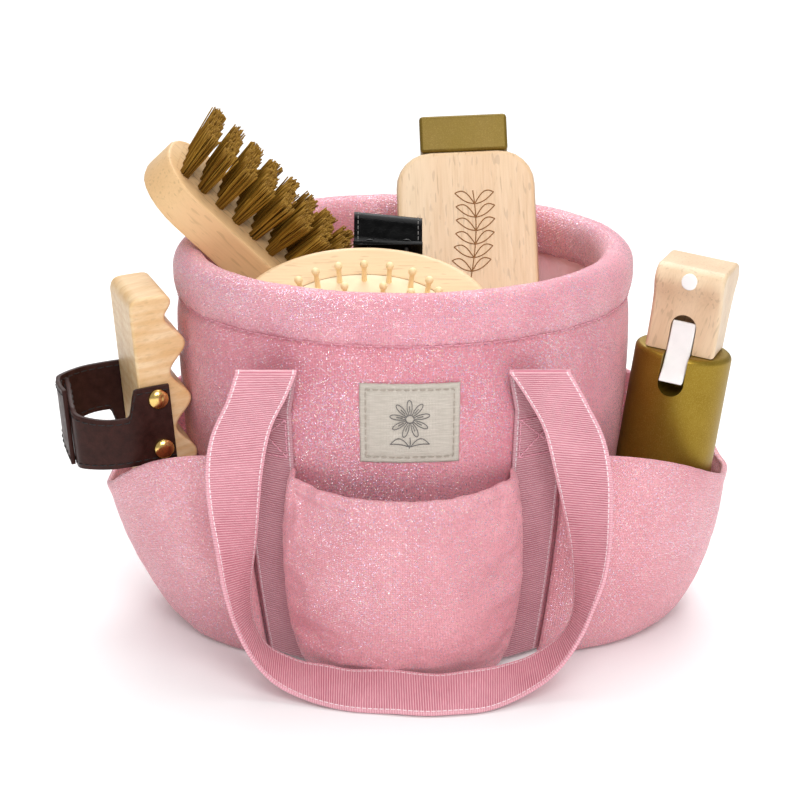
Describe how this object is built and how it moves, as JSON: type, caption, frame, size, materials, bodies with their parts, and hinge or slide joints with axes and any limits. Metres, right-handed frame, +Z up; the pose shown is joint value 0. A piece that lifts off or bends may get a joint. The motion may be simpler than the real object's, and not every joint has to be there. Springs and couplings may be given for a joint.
{
  "type": "grooming bag",
  "caption": "Round padded grooming bag with outside pockets and two webbing handles, holding a bristle brush, pin brush, flat bottle, curry comb and spray bottle.",
  "frame": {"origin": "centre of the flat base panel's underside, on the floor", "axes": "+Z up, -Y the bag's front with the label patch, +X the viewer's right"},
  "size_m": [0.3015, 0.2626, 0.2284],
  "materials": {
    "pink_fabric": "woven polyester with fine glitter",
    "pink_lining": "smooth pink lining",
    "foam": "soft foam sheet",
    "board": "stiff base board",
    "pink_webbing": "ribbed grosgrain webbing",
    "label_cloth": "plain woven beige cloth",
    "tissue": "crumpled tissue paper",
    "pale_wood": "lightly sanded beech",
    "bristle": "tan brown bristle",
    "cream_pad": "cream rubber pad with turned wooden pins",
    "black_leather": "glossy black",
    "brown_leather": "smooth dark brown",
    "brass": "polished",
    "gold_paint": "satin olive gold paint on wood",
    "white_plastic": "satin white",
    "steel": "plain steel"
  },
  "bodies": {
    "bag": {"base_panel": "pink_fabric", "base_board": "board", "outer_shell": "pink_fabric", "foam_wall": "foam", "lining": "pink_lining", "rim_collar": "pink_fabric", "front_pocket": "pink_fabric", "back_pocket": "pink_fabric", "left_pocket": "pink_fabric", "right_pocket": "pink_fabric", "front_left_tape": "pink_webbing", "front_right_tape": "pink_webbing", "back_left_tape": "pink_webbing", "back_right_tape": "pink_webbing", "label_patch": "label_cloth", "tissue_wad": "tissue"},
    "front_handle": {"front_handle": "pink_webbing"},
    "back_handle": {"back_handle": "pink_webbing"},
    "bristle_brush": {"bristle_brush_block": "pale_wood", "bristles": "bristle"},
    "pin_brush": {"pin_brush_block": "pale_wood", "pin_pad": "cream_pad", "palm_strap": "black_leather", "strap_tack_1": "brass", "strap_tack_2": "brass", "strap_tack_3": "brass", "strap_tack_4": "brass"},
    "flat_bottle": {"bottle_body": "pale_wood", "bottle_cap": "gold_paint", "bottle_dowel": "pale_wood"},
    "curry_comb": {"comb_block": "pale_wood", "comb_strap_near": "brown_leather", "comb_strap_far": "brown_leather", "comb_rivet_1": "brass", "comb_rivet_2": "brass", "comb_rivet_3": "brass", "comb_rivet_4": "brass"},
    "spray_bottle": {"spray_body": "gold_paint", "spray_head": "pale_wood", "spray_dowel": "pale_wood", "nozzle": "white_plastic", "trigger_pin": "steel", "trigger_spring": "steel"},
    "trigger": {"trigger": "white_plastic"}
  },
  "joints": [
    {"name": "front_handle_fold", "type": "hinge", "parent": "bag", "child": "front_handle", "pos_m": [0, -0.0966, 0.138], "axis": [-1, 0, 0], "range_deg": [0, 150]},
    {"name": "back_handle_fold", "type": "hinge", "parent": "bag", "child": "back_handle", "pos_m": [0, 0.0966, 0.138], "axis": [1, 0, 0], "range_deg": [0, 150]},
    {"name": "bristle_brush_lift", "type": "slide", "parent": "bag", "child": "bristle_brush", "axis": [-0.7079, -0.0869, 0.7009], "range_m": [0, 0.12]},
    {"name": "pin_brush_lift", "type": "slide", "parent": "bag", "child": "pin_brush", "axis": [0.4208, 0.1002, 0.9016], "range_m": [0, 0.1]},
    {"name": "flat_bottle_lift", "type": "slide", "parent": "bag", "child": "flat_bottle", "axis": [-0.0398, 0.4067, 0.9127], "range_m": [0, 0.11]},
    {"name": "curry_comb_lift", "type": "slide", "parent": "bag", "child": "curry_comb", "axis": [-0.0833, -0.0255, 0.9962], "range_m": [0, 0.045]},
    {"name": "spray_bottle_lift", "type": "slide", "parent": "bag", "child": "spray_bottle", "axis": [0.1461, 0, 0.9893], "range_m": [0, 0.15]},
    {"name": "trigger_squeeze", "type": "hinge", "parent": "spray_bottle", "child": "trigger", "pos_m": [0.12405, -0.01289, 0.13399], "axis": [0.946, -0.2924, -0.1397], "range_deg": [0, 12], "stiffness_Nm_per_rad": 0.02}
  ]
}
